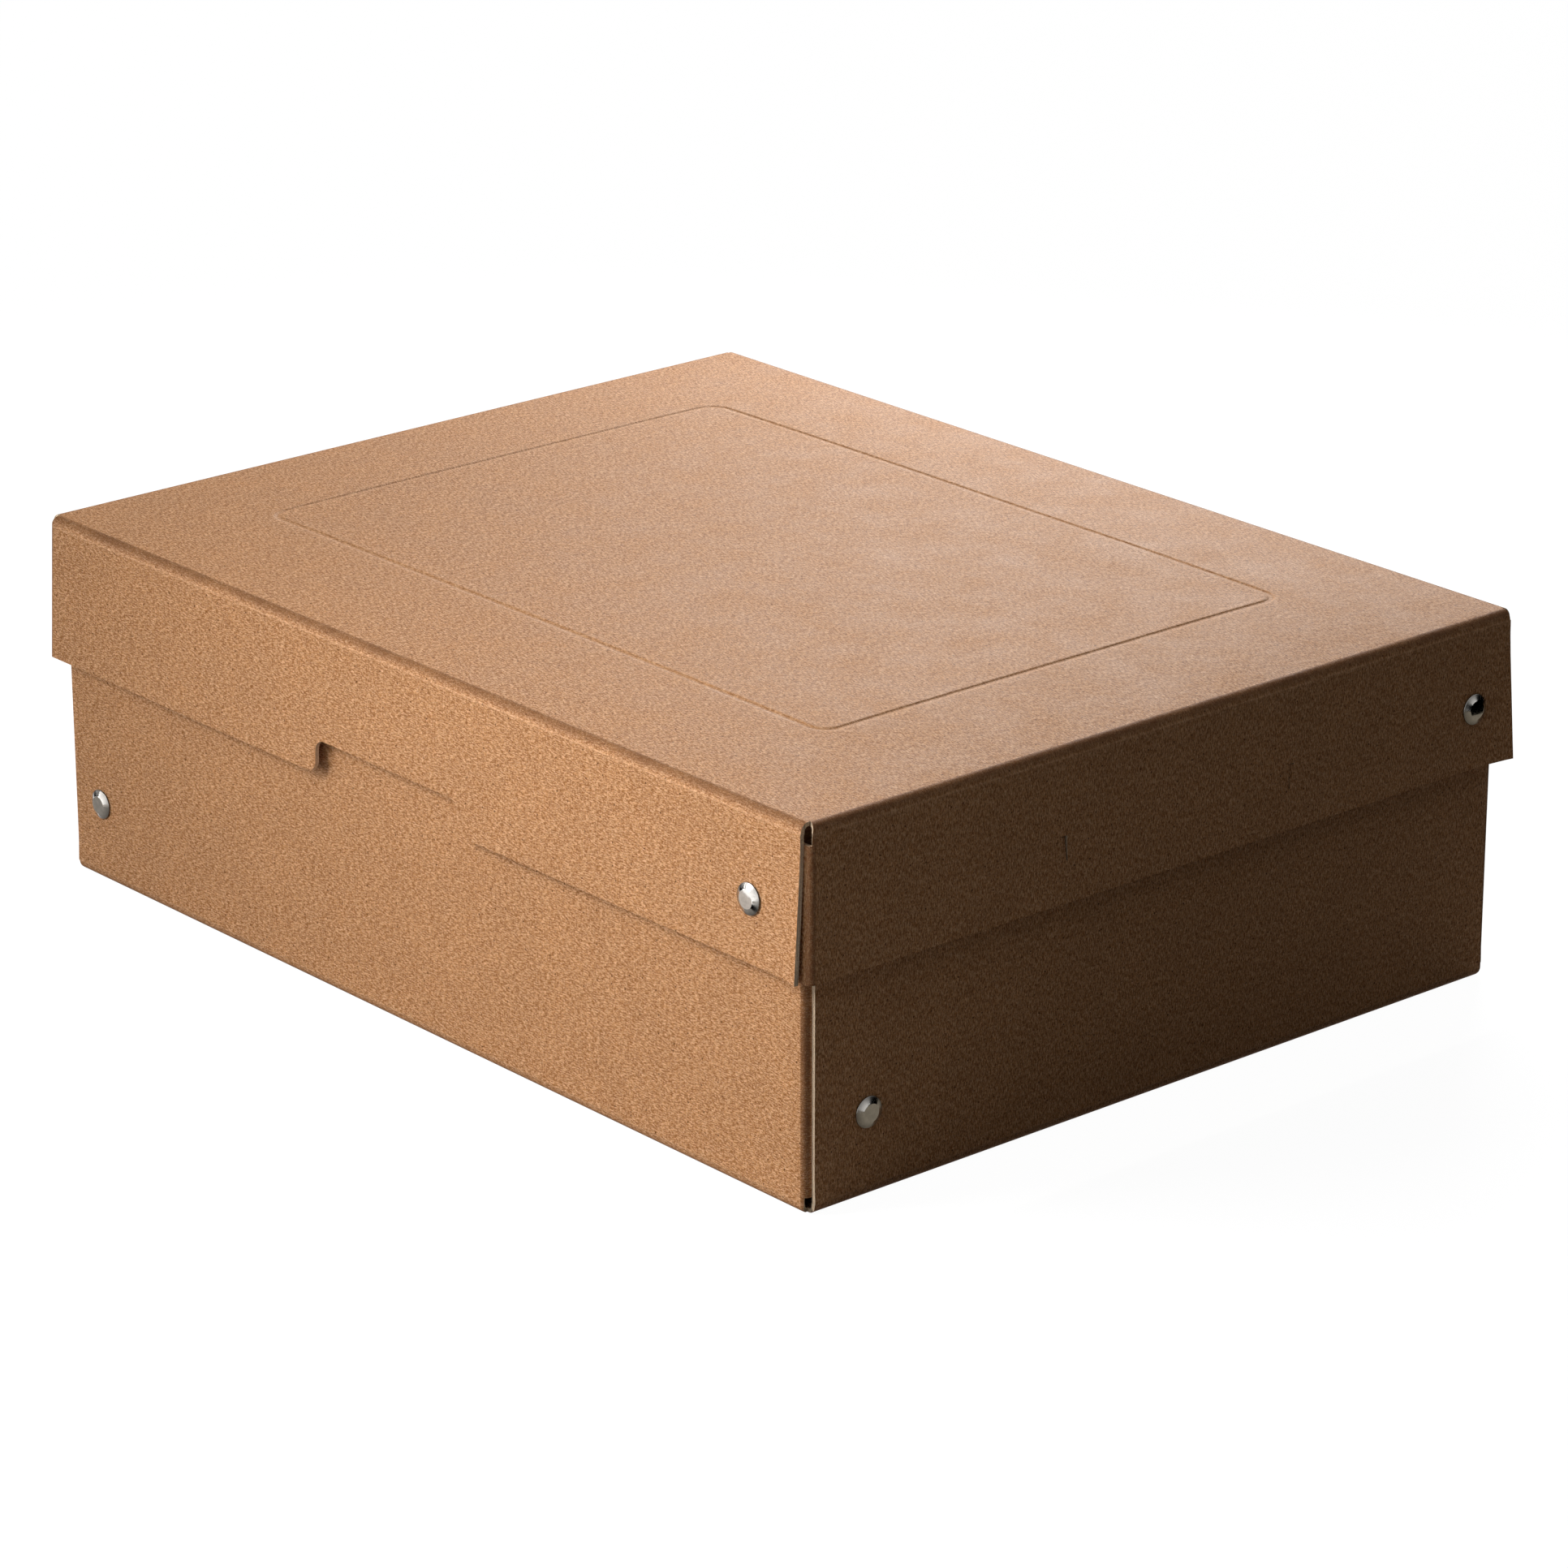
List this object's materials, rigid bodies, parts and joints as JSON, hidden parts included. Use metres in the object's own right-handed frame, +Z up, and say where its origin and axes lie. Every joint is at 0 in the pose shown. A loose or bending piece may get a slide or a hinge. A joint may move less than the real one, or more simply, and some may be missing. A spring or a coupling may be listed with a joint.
{
  "type": "lidded document box",
  "caption": "Flat document box of folded kraft board with riveted corners and a lift-off lid with a finger notch on each long side.",
  "frame": {"origin": "on the surface the box stands on, under the middle of the base", "axes": "+X along the long side, towards the end with the label slits; -Y towards the front long side; +Z up, the way the lid lifts"},
  "size_m": [0.3404, 0.2644, 0.1092],
  "materials": {
    "kraft_board": "uncoated brown kraft facing, matt, with visible fibres",
    "rivet_cap": "polished nickel plate",
    "rivet_post": "plain nickel plate",
    "rivet_backing": "satin nickel plate"
  },
  "bodies": {
    "base": {"base_tray": "kraft_board", "base_rivet_cap_front_left": "rivet_cap", "base_rivet_cap_front_right": "rivet_cap", "base_rivet_cap_back_left": "rivet_cap", "base_rivet_cap_back_right": "rivet_cap", "base_rivet_post_front_left": "rivet_post", "base_rivet_post_front_right": "rivet_post", "base_rivet_post_back_left": "rivet_post", "base_rivet_post_back_right": "rivet_post", "base_rivet_backing_front_left": "rivet_backing", "base_rivet_backing_front_right": "rivet_backing", "base_rivet_backing_back_left": "rivet_backing", "base_rivet_backing_back_right": "rivet_backing"},
    "lid": {"lid_tray": "kraft_board", "lid_rivet_cap_front_left": "rivet_cap", "lid_rivet_cap_front_right": "rivet_cap", "lid_rivet_cap_back_left": "rivet_cap", "lid_rivet_cap_back_right": "rivet_cap", "lid_rivet_post_front_left": "rivet_post", "lid_rivet_post_front_right": "rivet_post", "lid_rivet_post_back_left": "rivet_post", "lid_rivet_post_back_right": "rivet_post", "lid_rivet_backing_front_left": "rivet_backing", "lid_rivet_backing_front_right": "rivet_backing", "lid_rivet_backing_back_left": "rivet_backing", "lid_rivet_backing_back_right": "rivet_backing"}
  },
  "joints": [
    {"name": "lid_lift", "type": "slide", "parent": "base", "child": "lid", "axis": [0, 0, 1], "range_m": [0, 0.12]}
  ]
}
